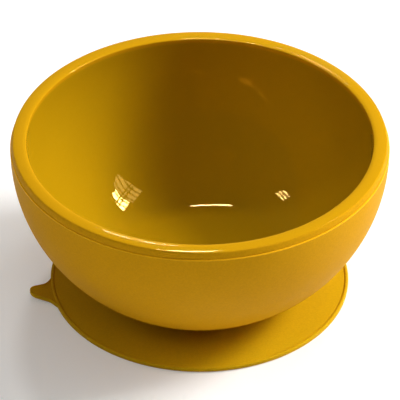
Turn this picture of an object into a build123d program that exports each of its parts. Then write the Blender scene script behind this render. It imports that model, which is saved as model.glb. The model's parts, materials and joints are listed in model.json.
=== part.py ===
"""A silicone suction bowl: a deep round bowl on a soft neck, a suction disc and its release tab.

Millimetres, +Z up. The origin is the middle of the suction disc, on the surface that it stands on.
The bowl opens towards +Z, and the release tab points roughly towards -X.
"""
from build123d import *
import os
from math import cos, radians, sin, sqrt

# Whole bowl
overall_height = 58.5     # from the table to the top of the rim
rim_diameter = 125.0      # over the parting bead, the widest line of the bowl

# Rim, from the inside out
rim_width = 5.1           # from the inner wall to the lip's outer face
rim_inner_round = 1.4     # rounding between the inner wall and the flat top
rim_outer_round = 1.8     # rounding between the flat top and the lip
lip_height = 2.9          # from the rim's top down to the middle of the parting bead

# Parting bead, where the two halves of the mould met
bead_radius = 0.35        # half of its thickness
bead_proud = 0.2          # how far it stands out of the lip
bead_step = 0.35          # how far the wall under it is set back from the lip

# Bowl wall, part of an ellipse outside and inside
foot_height = 5.4         # the flat underside of the bowl, above the table
foot_radius = 34.0        # where the outer wall would meet that underside
foot_round = 22.0         # rounding between the outer wall and the underside
floor_thickness = 3.8     # from the underside to the inner floor
floor_radius = 32.0       # where the inner wall would meet the floor
floor_round = 24.0        # rounding between the inner wall and the floor

# Suction disc
disc_diameter = 100.0
disc_crown = 3.3          # the middle of its upper face, above the table
disc_plateau = 17.0       # radius of the flat middle
disc_skin = 1.5           # thickness of the disc over the suction chamber
disc_edge = 1.2           # the upper face beside the edge ridge, above the table
seal_width = 6.5          # flat ring that seals on the table
ridge_width = 1.3         # rounded ridge along the edge
ridge_height = 0.35       # how far the ridge stands out of the upper face
edge_round = 0.4          # rounding under the edge
slope_round = 30.0        # rounding between the flat middle and the slope

# Neck between the disc and the bowl
neck_foot_radius = 16.0   # where it spreads onto the disc
neck_top_radius = 15.0    # where it meets the bowl's underside
neck_waist = 0.45         # how far its side curves in at half height

# Release tab
tab_azimuth = 190.5       # its direction, in degrees from +X towards +Y
tab_length = 7.6          # beyond the disc's edge
tab_root_width = 10.4     # at the hinge line
tab_tip_radius = 3.1      # its rounded end
tab_rise = 12.0           # its slope up from the hinge line, in degrees
tab_underside = 0.25      # the room below it at the hinge line
tab_thickness = 1.4       # over its edge lip
tab_lip_width = 0.9       # the lip along its edge
tab_lip_height = 0.3      # how far the lip stands out of its upper face
tab_round = 0.25          # rounding of its upper edge
hinge_gap = 0.25          # between the disc's edge and the tab's own solid

# Worked out from the sizes above
lip_radius = rim_diameter / 2 - bead_proud
bead_height = overall_height - lip_height
wall_radius = lip_radius - bead_step
inner_radius = lip_radius - rim_width
inner_top = overall_height - rim_inner_round
floor_height = foot_height + floor_thickness
disc_radius = disc_diameter / 2
seal_radius = disc_radius - seal_width
slope_foot = disc_radius - ridge_width
tab_root = disc_radius + hinge_gap + tab_thickness * sin(radians(tab_rise))
tab_reach = (disc_radius + tab_length - tab_root) / cos(radians(tab_rise))


def wall_arc(radius, top, foot, end_radius):
    """Quarter of an ellipse from the axis up to (radius, top), passing end_radius at the height foot."""
    depth = (top - foot) / sqrt(1 - (end_radius / radius) ** 2)
    pull = 4 / 3 * (sqrt(2) - 1)
    low = top - depth
    return Bezier((0, low), (pull * radius, low), (radius, top - pull * depth), (radius, top))


def cut_below(height):
    """Take away all of the section that lies lower than height."""
    with Locations((0, height)):
        Rectangle(rim_diameter, overall_height, align=(Align.MIN, Align.MAX), mode=Mode.SUBTRACT)


def round_corner(section, corner, radius):
    """Round the corner of the section that lies nearest to a point."""
    fillet(section.vertices().sort_by_distance(corner)[0], radius)


def tab_outline(margin):
    """The tongue's outline, drawn in from its edge by margin, from the hinge line outwards."""
    with Locations((tab_reach - tab_tip_radius, 0)):
        tip = Circle(tab_tip_radius - margin)
    root = Rectangle(tab_lip_width, tab_root_width - 2 * margin, align=(Align.MIN, Align.CENTER))
    make_hull(tip.edges() + root.edges())


os.makedirs("parts", exist_ok=True)

# Bowl: the outside with its lip, bead and foot, less the hollow
with BuildPart() as bowl:
    with BuildSketch(Plane.XZ) as outside:
        with BuildLine():
            wall = wall_arc(wall_radius, bead_height, foot_height, foot_radius)
            Line(wall @ 1, (lip_radius, bead_height))
            Line((lip_radius, bead_height), (lip_radius, overall_height))
            Line((lip_radius, overall_height), (0, overall_height))
            Line((0, overall_height), wall @ 0)
        make_face()
        cut_below(foot_height)
        round_corner(outside, (foot_radius, foot_height), foot_round)
        round_corner(outside, (lip_radius, overall_height), rim_outer_round)
        with Locations((lip_radius + bead_proud - bead_radius, bead_height)):
            Circle(bead_radius)
    revolve(axis=Axis.Z)
    with BuildSketch(Plane.XZ) as hollow:
        with BuildLine():
            wall = wall_arc(inner_radius, inner_top, floor_height, floor_radius)
            flare = CenterArc(
                (inner_radius + rim_inner_round, inner_top), rim_inner_round, start_angle=180, arc_size=-90
            )
            Line(flare @ 1, (0, overall_height))
            Line((0, overall_height), wall @ 0)
        make_face()
        cut_below(floor_height)
        round_corner(hollow, (floor_radius, floor_height), floor_round)
    revolve(axis=Axis.Z, mode=Mode.SUBTRACT)
bowl.part.label = "bowl"

# Suction disc: a shallow dome with a flat sealing ring, an edge ridge and the suction chamber under it
with BuildPart() as suction_disc:
    with BuildSketch(Plane.XZ) as dome:
        with BuildLine():
            Polyline(
                (slope_foot, disc_edge), (disc_plateau, disc_crown), (0, disc_crown), (0, 0),
                (disc_radius, 0), (disc_radius, disc_edge),
            )
            ThreePointArc(
                (disc_radius, disc_edge),
                (disc_radius - ridge_width / 2, disc_edge + ridge_height),
                (slope_foot, disc_edge),
            )
        make_face()
        round_corner(dome, (disc_plateau, disc_crown), slope_round)
        round_corner(dome, (disc_radius, 0), edge_round)
        with BuildLine():
            ceiling = disc_crown - disc_skin
            Polyline((0, 0), (seal_radius, 0), (disc_plateau, ceiling), (0, ceiling), close=True)
        make_face(mode=Mode.SUBTRACT)
    revolve(axis=Axis.Z)
suction_disc.part.label = "suction_disc"

# Neck: a short waisted stem from the disc's flat middle to the bowl's underside
with BuildPart() as neck:
    with BuildSketch(Plane.XZ):
        with BuildLine():
            waist_radius = (neck_foot_radius + neck_top_radius) / 2 - neck_waist
            side = ThreePointArc(
                (neck_foot_radius, disc_crown),
                (waist_radius, (disc_crown + foot_height) / 2),
                (neck_top_radius, foot_height),
            )
            Polyline(side @ 1, (0, foot_height), (0, disc_crown), side @ 0)
        make_face()
    revolve(axis=Axis.Z)
neck.part.label = "neck"

# Release tab: a tongue that slopes up from the hinge line, with a lip along its edge
tab_place = Location((0, 0, tab_underside), (0, 0, tab_azimuth)) * Location((tab_root, 0, 0), (0, -tab_rise, 0))
with BuildPart() as release_tab:
    with BuildSketch(Plane(tab_place)):
        tab_outline(0)
    extrude(amount=tab_thickness)
    fillet(release_tab.faces().sort_by(Axis.Z)[-1].edges(), tab_round)
    with BuildSketch(Plane(tab_place).offset(tab_thickness)):
        tab_outline(tab_lip_width)
    extrude(amount=-tab_lip_height, mode=Mode.SUBTRACT)
release_tab.part.label = "release_tab"

for piece in (bowl, suction_disc, neck, release_tab):
    export_step(piece.part, f"parts/{piece.part.label}.step")
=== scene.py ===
"""The look of the suction bowl: its silicone skin, the pale table, the room's lights and the camera."""
import json
from math import asin, atan2, cos, degrees, pi, radians, sin, sqrt

import bmesh
import bpy
from mathutils import Euler, Matrix, Vector


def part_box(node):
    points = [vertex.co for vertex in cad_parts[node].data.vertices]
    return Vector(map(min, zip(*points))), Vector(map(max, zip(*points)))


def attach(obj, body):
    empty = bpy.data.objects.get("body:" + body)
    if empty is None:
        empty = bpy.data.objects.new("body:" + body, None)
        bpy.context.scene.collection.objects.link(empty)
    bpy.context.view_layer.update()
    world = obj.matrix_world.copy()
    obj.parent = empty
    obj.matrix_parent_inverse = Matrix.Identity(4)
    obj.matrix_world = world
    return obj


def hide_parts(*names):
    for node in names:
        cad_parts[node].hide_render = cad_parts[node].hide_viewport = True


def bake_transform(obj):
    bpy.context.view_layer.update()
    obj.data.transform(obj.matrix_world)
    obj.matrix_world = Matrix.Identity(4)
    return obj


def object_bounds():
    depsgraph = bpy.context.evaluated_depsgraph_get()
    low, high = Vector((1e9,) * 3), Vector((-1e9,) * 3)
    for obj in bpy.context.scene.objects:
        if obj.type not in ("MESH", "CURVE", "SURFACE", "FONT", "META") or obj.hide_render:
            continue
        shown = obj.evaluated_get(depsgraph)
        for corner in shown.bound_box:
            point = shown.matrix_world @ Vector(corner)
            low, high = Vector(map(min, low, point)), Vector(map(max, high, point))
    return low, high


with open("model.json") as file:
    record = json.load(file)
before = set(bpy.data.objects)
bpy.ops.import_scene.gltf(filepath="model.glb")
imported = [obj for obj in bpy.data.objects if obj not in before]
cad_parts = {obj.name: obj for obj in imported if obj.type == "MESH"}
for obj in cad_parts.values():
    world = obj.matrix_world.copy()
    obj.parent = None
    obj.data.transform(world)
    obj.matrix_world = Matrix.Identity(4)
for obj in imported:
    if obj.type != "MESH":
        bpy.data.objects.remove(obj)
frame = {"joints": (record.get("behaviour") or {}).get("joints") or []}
cad_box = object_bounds()

MM = 0.001
bowl_low, bowl_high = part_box("bowl")
neck_low, neck_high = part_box("neck")
disc_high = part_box("suction_disc")[1]
tab_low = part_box("release_tab")[0]

# Rim and parting bead
bead_radius = 0.3 * MM
bead_height = bowl_high.z - 2.9 * MM        # of its middle
bead_out = bowl_high.x + 0.05 * MM          # the bowl's widest line
bead_end = -15                              # degrees from level at which the bead meets the wall
ledge = 0.42 * MM                           # the step from the lip out to the bead
ledge_height = bead_height + bead_radius
lip_radius = bead_out - ledge
lip_round = 0.7 * MM                        # how far the tall rounding over the lip reaches in
lip_top = 86.5                              # degrees of its quarter turn, where the rim's top takes over
rim_slope = 0.12 * MM                       # fall of the rim's top towards the lip
roll_radius = 4.2 * MM                      # the slow roll from the rim's top towards the hollow
roll_angle = 15                             # degrees that the roll turns
corner_round = 0.4 * MM                     # the corner between the roll and the inner wall
corner_drop = roll_radius * (1 - cos(radians(roll_angle))) + corner_round * cos(radians(roll_angle))
corner_steps, roll_steps, lip_steps, bead_steps = 6, 12, 14, 10

# Bowl wall
wall_radius = bead_out - 0.02 * MM
wall_gap = 0.05 * MM                        # the wall's first point lies at least this far below the bead
foot_radius = 34 * MM
foot_round = 22 * MM
inner_radius = bowl_high.x - 5.3 * MM
inner_top = bowl_high.z - 1.4 * MM          # the inner wall is upright above this height
floor_height = bowl_low.z + 3.8 * MM
floor_radius = 32 * MM
floor_round = 24 * MM
wall_steps = 48

# Neck
neck_foot, neck_top = neck_high.x, 15 * MM  # radii
neck_waist = 0.45 * MM                      # how far its side draws in half way up
neck_steps = 12

# Suction disc
disc_radius = disc_high.x
crown = disc_high.z
disc_plateau = 17 * MM                      # radius at which the flat middle would meet the slope
bend_radius = 30 * MM
ridge_width = 1.3 * MM
ridge_height = 0.35 * MM
disc_edge = 1.2 * MM                        # height at which the slope ends and the ridge stands
edge_round = 0.4 * MM
seal_width = 6.5 * MM
disc_thickness = 1.5 * MM
bend_steps, slope_steps, ridge_steps, edge_steps = 8, 12, 10, 6

# Release tab
tab_rise = radians(12)
tab_length = 7.6 * MM
tab_root_half = 5.2 * MM
tab_tip_radius = 3.1 * MM
tab_flare = 1.5 * MM
tab_flare_reach = 2.4 * MM
tab_overlap = 0.7 * MM                      # how far its root reaches into the disc
tab_side_steps, tab_tip_steps = 14, 14
tab_section = [          # (inset from the outline, height over the underside), in millimetres
    (1.2, 0.0), (0.25, 0.0), (0.07, 0.08), (0.0, 0.3), (0.0, 1.08), (0.06, 1.26), (0.2, 1.37), (0.36, 1.4),
    (0.55, 1.37), (0.72, 1.25), (0.86, 1.13), (1.02, 1.1), (1.6, 1.1), (2.3, 1.1),
]

# Meshes
GLOSS, MATT, BEAD = 0, 1, 2                 # the bowl's material slots
AROUND = 240                                # faces round each lathed piece
ON_AXIS = 1e-7                              # a smaller radius is a single point on the axis
CREASE = radians(38)                        # edges that turn more than this stay sharp

# Silicone: each noise has a scale and a detail
SHEEN_TINT = (1, 0.58, 0.10)
SILICONE_IOR = 1.43
SPECKLE_NOISE, HAZE_NOISE, WAVE_NOISE = (1500, 2), (120, 5), (45, 1)
NOISE_LOW, NOISE_HIGH = 0.3, 0.7            # the span in which a noise nearly always lies
GRAIN_DETAIL = 3
WAVE_DEPTH = 0.02 * MM

# Table, room and lamps
TABLE_GAP = 0.1 * MM
TABLE_GLOW = 0.18
HORIZON_GREY, SKY_GREY = 0.25, 0.06
SKY_FROM = 0.3                              # sine of the elevation from which the room has the sky's grey
LAMP_DISTANCE = 2.5
LAMP_AIM = Vector((0, 0, 0.03))

# Window lamp: metres on its own plane, and the radiance of its dim and its sunny panes
WINDOW_WIDTH, WINDOW_HEIGHT = 1.70, 1.16
WINDOW_DIM, WINDOW_SUN = 8.5, 110.0
BAR_SLANT, BAR_PITCH, BAR_OFFSET = 0.667, 0.195, 2.0
BAR_SHARE = 0.26                            # share of the pitch that a bar takes
MULLIONS, MULLION_HALF = (-0.03, 0.14), 0.035
DIM_FROM, DIM_TO, DIM_LEFT = -0.60, 0.065, -0.65
SUN_FROM, SUN_TO, SUN_SLANT, SUN_HALF = 0.10, 0.42, 0.25, 0.45


def arc(centre, radius, start, end, steps):
    """Points of an arc from angle start to end, in degrees, both included."""
    angles = [radians(start + (end - start) * i / steps) for i in range(steps + 1)]
    return [(centre[0] + radius * cos(a), centre[1] + radius * sin(a)) for a in angles]


def wall(radius, top, foot, foot_reach, floor_blend):
    """The wall from its top down, rounded into a flat floor at height foot, and in to the axis.

    It is an ellipse that would reach height foot at radius foot_reach.
    """
    tries, floor_steps = 4, 6
    depth = (top - foot) / sqrt(1 - (foot_reach / radius) ** 2)
    points = []
    for i in range(wall_steps * tries):
        a = pi / 2 * i / (wall_steps * tries)
        r, z = radius * cos(a), top - depth * sin(a)
        normal = Vector((-cos(a) / radius, sin(a) / depth)).normalized()
        centre = Vector((r, z)) + normal * floor_blend
        if centre.y <= foot + floor_blend:
            turn = atan2(z - centre.y, r - centre.x)
            points += arc(centre, floor_blend, degrees(turn), -90, wall_steps // 2)
            break
        if i % tries == 0:
            points.append((r, z))
    flat = points[-1][0]
    return points + [(flat * (1 - i / floor_steps), foot) for i in range(1, floor_steps + 1)]


def lathe(name, section, materials):
    """A solid of revolution through (radius, height, material) points that start and end on the axis."""
    bm = bmesh.new()
    rings = []
    for r, z, _ in section:
        turns = AROUND if r > ON_AXIS else 1
        angles = [2 * pi * i / turns for i in range(turns)]
        rings.append([bm.verts.new((r * cos(a), r * sin(a), z)) for a in angles])
    for (ring, after), point in zip(zip(rings, rings[1:]), section):
        for i in range(AROUND):
            j = (i + 1) % AROUND
            corners = [ring[i % len(ring)], ring[j % len(ring)], after[j % len(after)], after[i % len(after)]]
            face = bm.faces.new(dict.fromkeys(corners))
            face.material_index = point[2]
            face.smooth = True
    bmesh.ops.recalc_face_normals(bm, faces=bm.faces)
    return piece(name, bm, materials)


def piece(name, bm, materials):
    """Turn a bmesh into an object with its materials, with creases left sharp."""
    mesh = bpy.data.meshes.new(name)
    bm.to_mesh(mesh)
    bm.free()
    mesh.set_sharp_from_angle(angle=CREASE)
    for material in materials:
        mesh.materials.append(material)
    obj = bpy.data.objects.new(name, mesh)
    bpy.context.scene.collection.objects.link(obj)
    return obj


def new_material(name):
    """A new material, its nodes and its links."""
    material = bpy.data.materials.new(name)
    material.use_nodes = True
    return material, material.node_tree.nodes, material.node_tree.links


def noise(nodes, links, coords, scale, detail):
    """A noise over the object's own coordinates."""
    node = nodes.new("ShaderNodeTexNoise")
    node.inputs["Scale"].default_value = scale
    node.inputs["Detail"].default_value = detail
    links.new(coords.outputs["Object"], node.inputs["Vector"])
    return node.outputs["Fac"]


def ramp(nodes, links, value, start, end, low, high):
    """Map a value from the span start to end on to the span low to high."""
    node = nodes.new("ShaderNodeMapRange")
    for socket, number in zip(("From Min", "From Max", "To Min", "To Max"), (start, end, low, high)):
        node.inputs[socket].default_value = number
    links.new(value, node.inputs["Value"])
    return node.outputs["Result"]


def bump(nodes, links, height, depth):
    """A bump node that turns a height of 0 to 1 into a relief of so many metres."""
    node = nodes.new("ShaderNodeBump")
    node.inputs["Strength"].default_value = 1
    node.inputs["Distance"].default_value = depth
    links.new(height, node.inputs["Height"])
    return node


def silicone(name, tones, levels, sheen, roughness, grain, speckle):
    """Silicone whose colour turns from one tone to the other between two heights, with a fine speckle; in the
    hollow that turn is painted shade.

    Its roughness wanders between two values, over a fine grain, given as scale and depth, and a slow wave.
    """
    material, nodes, links = new_material(name)
    shader = nodes["Principled BSDF"]
    shader.inputs["IOR"].default_value = SILICONE_IOR
    shader.inputs["Specular IOR Level"].default_value = sheen
    shader.inputs["Specular Tint"].default_value = (*SHEEN_TINT, 1)
    coords = nodes.new("ShaderNodeTexCoord")
    place = nodes.new("ShaderNodeSeparateXYZ")
    links.new(coords.outputs["Object"], place.inputs[0])
    tone_by_height = nodes.new("ShaderNodeMix")
    tone_by_height.data_type = "RGBA"
    share, first, second, mixed = tone_by_height.inputs[0], tone_by_height.inputs[6], tone_by_height.inputs[7], tone_by_height.outputs[2]
    first.default_value = (*tones[0], 1)
    second.default_value = (*tones[1], 1)
    links.new(ramp(nodes, links, place.outputs["Z"], *levels, 0, 1), share)
    tone = nodes.new("ShaderNodeHueSaturation")
    fleck = noise(nodes, links, coords, *SPECKLE_NOISE)
    fleck = ramp(nodes, links, fleck, NOISE_LOW, NOISE_HIGH, 1 - speckle, 1 + speckle)
    links.new(fleck, tone.inputs["Value"])
    links.new(mixed, tone.inputs["Color"])
    links.new(tone.outputs["Color"], shader.inputs["Base Color"])
    haze = noise(nodes, links, coords, *HAZE_NOISE)
    links.new(ramp(nodes, links, haze, NOISE_LOW, NOISE_HIGH, *roughness), shader.inputs["Roughness"])
    grain_scale, grain_depth = grain
    fine = bump(nodes, links, noise(nodes, links, coords, grain_scale, GRAIN_DETAIL), grain_depth)
    wave = bump(nodes, links, noise(nodes, links, coords, *WAVE_NOISE), WAVE_DEPTH)
    links.new(wave.outputs["Normal"], fine.inputs["Normal"])
    links.new(fine.outputs["Normal"], shader.inputs["Normal"])
    return material


# Materials: the hollow is painted darker than the rim as painted shade, and turns to the rim's tone between 2
# and 1 mm below the rim's top
painted_hollow_shade_tones = ((0.44, 0.250, 0.003), (0.62, 0.312, 0.004))
wall_tones = ((0.625, 0.305, 0.004), (0.635, 0.307, 0.004))
# The bead's tones are far paler than the wall's: a painted highlight along the bead
bead_painted_light_tones = ((0.88, 0.45, 0.006), (0.90, 0.46, 0.006))
disc_tones = ((0.62, 0.368, 0.006), (0.63, 0.374, 0.006))
rim_levels = (bowl_high.z - 2 * MM, bowl_high.z - 1 * MM)
wide_levels = (0, 50 * MM)
matt_roughness, matt_grain = (0.55, 0.62), (3800, 0.03 * MM)
gloss = silicone(
    "silicone_gloss", painted_hollow_shade_tones, rim_levels,
    sheen=0.5, roughness=(0.02, 0.035), grain=(2600, 0.0001 * MM), speckle=0.015)
matt = silicone(
    "silicone_matt_skin", wall_tones, wide_levels,
    sheen=0.07, roughness=matt_roughness, grain=matt_grain, speckle=0.05)
bead_painted_highlight = silicone(
    "silicone_mould_line", bead_painted_light_tones, wide_levels,
    sheen=0.3, roughness=(0.4, 0.5), grain=(3800, 0.01 * MM), speckle=0.05)
matt_base = silicone(
    "silicone_matt_base", disc_tones, wide_levels,
    sheen=0.1, roughness=matt_roughness, grain=matt_grain, speckle=0.05)

# Bowl: the polished hollow and rim's top, the matt lip, the ledge and bead in a paler colour that is a
# painted highlight, then the matt outside
inside = wall(inner_radius, inner_top, floor_height, floor_radius, floor_round)
corner_end = 90 + roll_angle
corner_centre = (inner_radius + corner_round, bowl_high.z - corner_drop)
inner_corner = arc(corner_centre, corner_round, 180, corner_end, corner_steps)
roll_centre = (inner_corner[-1][0] + roll_radius * sin(radians(roll_angle)), bowl_high.z - roll_radius)
inner_roll = arc(roll_centre, roll_radius, corner_end, 90, roll_steps)[1:]
lip_height = bowl_high.z - rim_slope - ledge_height
lip_turns = [radians(lip_top * (1 - i / lip_steps)) for i in range(lip_steps + 1)]
outer_lip = [(lip_radius - lip_round * (1 - cos(a)), ledge_height + lip_height * sin(a)) for a in lip_turns]
bead = arc((bead_out - bead_radius, bead_height), bead_radius, 90, bead_end, bead_steps)
bead_low = bead[-1][1]
outside = wall(wall_radius, bead_height, bowl_low.z, foot_radius, foot_round)
outside = [(r, z) for r, z in outside if z < bead_low - wall_gap]
bowl_section = [(r, z, GLOSS) for r, z in inside[::-1][:-1] + inner_corner + inner_roll + outer_lip[:1]]
bowl_section += [(r, z, MATT) for r, z in outer_lip[1:-1]]
# The ledge and bead take the paler colour of the painted highlight
bowl_section += [(r, z, BEAD) for r, z in outer_lip[-1:] + bead]
bowl_section += [(r, z, MATT) for r, z in [(wall_radius, bead_low)] + outside]
bowl_skin = lathe("bowl_skin", bowl_section, [gloss, matt, bead_painted_highlight])
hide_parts("bowl")
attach(bowl_skin, "bowl")

# Neck
neck_section = [(0, neck_low.z, 0)]
for i in range(neck_steps + 1):
    t = i / neck_steps
    radius = neck_foot + (neck_top - neck_foot) * t - 4 * neck_waist * t * (1 - t)
    neck_section.append((radius, neck_low.z + (neck_high.z - neck_low.z) * t, 0))
neck_section.append((0, neck_high.z, 0))
neck_skin = lathe("neck_skin", neck_section, [matt_base])
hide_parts("neck")
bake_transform(neck_skin)

# Suction disc: the flat middle, bend, slope, ridge, edge, sealing ring and the chamber's roof
slope_foot = disc_radius - ridge_width
slope_angle = atan2(crown - disc_edge, slope_foot - disc_plateau)
bend_half = bend_radius * slope_angle / 2
slope_start, slope_top = disc_plateau + bend_half, crown - bend_half * sin(slope_angle)
disc_outline = [(0, crown), (disc_plateau / 2, crown)]
for i in range(bend_steps + 1):
    t = i / bend_steps
    disc_outline.append((disc_plateau + bend_half * (2 * t - 1), crown - (crown - slope_top) * t ** 2))
for i in range(1, slope_steps + 1):
    t = i / slope_steps
    radius = slope_start + (slope_foot - slope_start) * t
    disc_outline.append((radius, slope_top - (slope_top - disc_edge) * t))
ridge_round = (ridge_width ** 2 / 4 + ridge_height ** 2) / (2 * ridge_height)
ridge_centre = (disc_radius - ridge_width / 2, disc_edge + ridge_height - ridge_round)
ridge_half = degrees(asin(ridge_width / 2 / ridge_round))
disc_outline += arc(ridge_centre, ridge_round, 90 + ridge_half, 90 - ridge_half, ridge_steps)
disc_outline += arc((disc_radius - edge_round, edge_round), edge_round, 0, -90, edge_steps)
disc_outline.append((disc_radius - seal_width, 0))
disc_outline += [(disc_plateau, crown - disc_thickness), (0, crown - disc_thickness)]
disc_skin_piece = lathe("disc_skin", [(r, z, 0) for r, z in disc_outline], [matt_base])
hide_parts("suction_disc")
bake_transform(disc_skin_piece)

# Release tab: a tongue that flares out of the disc's edge, with a lip along its own edge
lift = next(joint for joint in frame["joints"] if joint["name"] == "tab_lift")
outward = Vector((lift["pos_m"][0], lift["pos_m"][1], 0)).normalized()
sideways = Vector((-outward.y, outward.x, 0))


def tab_outline(inset):
    """Points (out, side) of the tongue's outline, drawn in by inset, from one root corner to the other."""
    centre, tip, root = tab_length - tab_tip_radius, tab_tip_radius - inset, tab_root_half - inset
    slant = atan2(root - tip, centre)
    lean = atan2(root - tip * cos(slant), centre + tip * sin(slant))
    side_end = (centre + tip * sin(lean), tip * cos(lean))
    half = []
    for i in range(tab_side_steps):
        out = -tab_overlap + (side_end[0] + tab_overlap) * i / tab_side_steps
        side = root + (side_end[1] - root) * max(0, out) / side_end[0]
        half.append((out, side + tab_flare * max(0, 1 - out / tab_flare_reach) ** 2))
    for i in range(tab_tip_steps + 1):
        a = (pi / 2 - lean) * (1 - i / tab_tip_steps)
        half.append((centre + tip * cos(a), tip * sin(a)))
    return half + [(out, -side) for out, side in half[-2::-1]]


bm = bmesh.new()
rings = []
for inset, height in tab_section:
    ring = []
    for out, side in tab_outline(inset * MM):
        rise = max(0, out) * sin(tab_rise)
        place = outward * (disc_radius + out) + sideways * side
        ring.append(bm.verts.new((place.x, place.y, tab_low.z + rise + height * MM)))
    rings.append(ring)
for ring, after in zip(rings, rings[1:]):
    for i in range(len(ring) - 1):
        bm.faces.new((ring[i], ring[i + 1], after[i + 1], after[i]))
for ring in (rings[0], rings[-1]):
    for i in range(len(ring) // 2):
        corners = [ring[i], ring[i + 1], ring[-2 - i], ring[-1 - i]]
        bm.faces.new(dict.fromkeys(corners))
for face in bm.faces:
    face.smooth = True
bmesh.ops.recalc_face_normals(bm, faces=bm.faces)
tab_skin = piece("tab_skin", bm, [matt_base])
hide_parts("release_tab")
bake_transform(tab_skin)

# Floor: it glows a little where it is looked at, directly or in a gloss, and keeps the bowl's shadow
floor_material, nodes, links = new_material("pale_table")
shader = nodes["Principled BSDF"]
shader.inputs["Base Color"].default_value = (0.86, 0.86, 0.85, 1)
shader.inputs["Roughness"].default_value = 0.9
shader.inputs["Emission Color"].default_value = (1, 1, 1, 1)
rays = nodes.new("ShaderNodeLightPath")
looked_at = rays.outputs["Is Camera Ray"]
for kind in ("Is Glossy Ray", "Is Transmission Ray"):
    either = nodes.new("ShaderNodeMath")
    either.operation = "ADD"
    links.new(looked_at, either.inputs[0])
    links.new(rays.outputs[kind], either.inputs[1])
    looked_at = either.outputs[0]
glow = nodes.new("ShaderNodeMath")
glow.operation = "MULTIPLY"
glow.inputs[1].default_value = TABLE_GLOW
links.new(looked_at, glow.inputs[0])
links.new(glow.outputs[0], shader.inputs["Emission Strength"])
bpy.ops.mesh.primitive_plane_add(size=6, location=(0, 0, cad_box[0].z - TABLE_GAP))
floor = bpy.context.object
floor.name = "table_top"
floor.data.materials.append(floor_material)

# Camera: a long lens in front of the bowl that looks down at it, with a very slight roll
camera_data = bpy.data.cameras.new("camera")
camera_data.lens = 450
camera_data.sensor_width = 36
camera_data.clip_end = 20
camera_down, camera_roll = radians(36.83), radians(0.2)
camera = bpy.data.objects.new("camera", camera_data)
camera.location = (0.0001, -1.3295, 1.0289)
tilt = Euler((radians(90) - camera_down, 0, 0)).to_matrix().to_4x4()
camera.rotation_euler = (tilt @ Matrix.Rotation(camera_roll, 4, "Z")).to_euler()
bpy.context.scene.collection.objects.link(camera)
bpy.context.scene.camera = camera


def lamp(name, azimuth, elevation, width, height, irradiance, in_gloss=False, twist=0):
    """A rectangular lamp that faces the bowl from a direction, in degrees, with a twist about its axis.

    It lights the bowl or, in_gloss, only shows in the bowl's gloss.
    """
    data = bpy.data.lights.new(name, "AREA")
    data.shape = "RECTANGLE"
    data.size, data.size_y = width, height
    data.energy = irradiance * pi * LAMP_DISTANCE ** 2
    obj = bpy.data.objects.new(name, data)
    a, e = radians(azimuth), radians(elevation)
    away = Vector((cos(a) * cos(e), sin(a) * cos(e), sin(e)))
    obj.location = LAMP_AIM + away * LAMP_DISTANCE
    turn = away.to_track_quat("Z", "Y").to_matrix().to_4x4() @ Matrix.Rotation(radians(twist), 4, "Z")
    obj.rotation_euler = turn.to_euler()
    obj.visible_camera = False
    obj.visible_glossy = in_gloss
    obj.visible_diffuse = not in_gloss
    bpy.context.scene.collection.objects.link(obj)
    return data


def lattice(data):
    """Give the window lamp slanted glazing bars, two mullions, and a dim and a sunny part."""
    data.use_nodes = True
    nodes, links = data.node_tree.nodes, data.node_tree.links
    split = nodes.new("ShaderNodeSeparateXYZ")
    links.new(nodes.new("ShaderNodeNewGeometry").outputs["Parametric"], split.inputs[0])

    def reckon(operation, *values):
        node = nodes.new("ShaderNodeMath")
        node.operation = operation
        for socket, value in zip(node.inputs, values):
            if isinstance(value, (int, float)):
                socket.default_value = value
            else:
                links.new(value, socket)
        return node.outputs[0]

    def both(one, other):
        return reckon("MULTIPLY", one, other)

    def between(value, low, high):
        return both(reckon("GREATER_THAN", value, low), reckon("LESS_THAN", value, high))

    x = reckon("MULTIPLY", reckon("SUBTRACT", split.outputs["X"], 0.5), data.size)
    y = reckon("MULTIPLY", reckon("SUBTRACT", split.outputs["Y"], 0.5), data.size_y)
    across = reckon("SUBTRACT", x, reckon("MULTIPLY", y, BAR_SLANT))
    bar = reckon("FRACT", reckon("DIVIDE", reckon("ADD", across, BAR_OFFSET), BAR_PITCH))
    glass = reckon("GREATER_THAN", bar, BAR_SHARE)
    for mullion in MULLIONS:
        aside = reckon("ABSOLUTE", reckon("SUBTRACT", y, mullion))
        glass = both(glass, reckon("GREATER_THAN", aside, MULLION_HALF))
    dim = both(between(across, DIM_FROM, DIM_TO), reckon("GREATER_THAN", x, DIM_LEFT))
    sun_edge = reckon("SUBTRACT", across, reckon("MULTIPLY", y, SUN_SLANT))
    sunny = both(reckon("GREATER_THAN", across, SUN_FROM), reckon("LESS_THAN", sun_edge, SUN_TO))
    sunny = both(sunny, between(y, -SUN_HALF, SUN_HALF))
    level = reckon("ADD", reckon("MULTIPLY", dim, WINDOW_DIM), reckon("MULTIPLY", sunny, WINDOW_SUN))
    links.new(both(level, glass), nodes["Emission"].inputs["Strength"])


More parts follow.
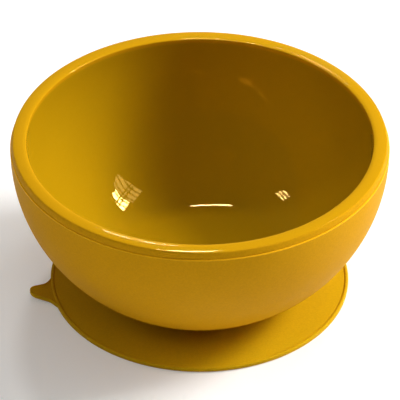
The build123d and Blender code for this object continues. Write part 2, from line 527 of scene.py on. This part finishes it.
# The window's lamp alone has a radiance of 1, because its lattice gives the radiance of each pane
window_irradiance = WINDOW_WIDTH * WINDOW_HEIGHT / LAMP_DISTANCE ** 2
lattice(lamp("window", 4, 46, WINDOW_WIDTH, WINDOW_HEIGHT, window_irradiance, True))

# Lamps that light the bowl
lamp("key", 16, 36, 0.92, 0.66, 3.8)
lamp("key_low", 9, 21, 0.95, 0.70, 0.70)
lamp("top", 0, 88, 1.2, 1.2, 0.2)
lamp("left_fill", 180, 35, 1.2, 1.2, 0.31)
lamp("left_front_fill", 210, 35, 1.2, 1.2, 0.12)
lamp("front_fill", 270, 62, 1.2, 1.2, 0.28)
lamp("back_fill", 97, 56.5, 0.3, 0.2, 0.5)
lamp("back_right_fill", 55, 50, 0.6, 0.6, 0.42)

# Lamps that show in the gloss
lamp("back_strip", 96.9, 62.3, 0.51, 0.07, 0.5, True, 27)
lamp("rim_glint_low", 92.3, 41.2, 0.11, 0.016, 0.024, True)
lamp("rim_glint_high", 92.9, 42.6, 0.10, 0.014, 0.02, True)
lamp("left_blind_low", 174.3, 43.9, 0.40, 0.024, 0.2, True, 14.2)
lamp("left_blind_middle", 175.65, 39.9, 0.386, 0.024, 0.19, True, 9.7)
lamp("left_blind_high", 176.8, 36.0, 0.353, 0.024, 0.18, True, 8)
lamp("front_glow", -131, 9, 0.25, 0.30, 0.05, True)

# Room: paler at the table's level than overhead
world = bpy.data.worlds.new("room")
bpy.context.scene.world = world
world.use_nodes = True
nodes, links = world.node_tree.nodes, world.node_tree.links
direction = nodes.new("ShaderNodeSeparateXYZ")
links.new(nodes.new("ShaderNodeTexCoord").outputs["Generated"], direction.inputs[0])
fade = nodes.new("ShaderNodeValToRGB")
for stop, position, grey in zip(fade.color_ramp.elements, (0, SKY_FROM), (HORIZON_GREY, SKY_GREY)):
    stop.position = position
    stop.color = (grey, grey, grey, 1)
links.new(direction.outputs["Z"], fade.inputs["Fac"])
links.new(fade.outputs["Color"], nodes["Background"].inputs["Color"])

bpy.context.scene.view_settings.view_transform = "Standard"
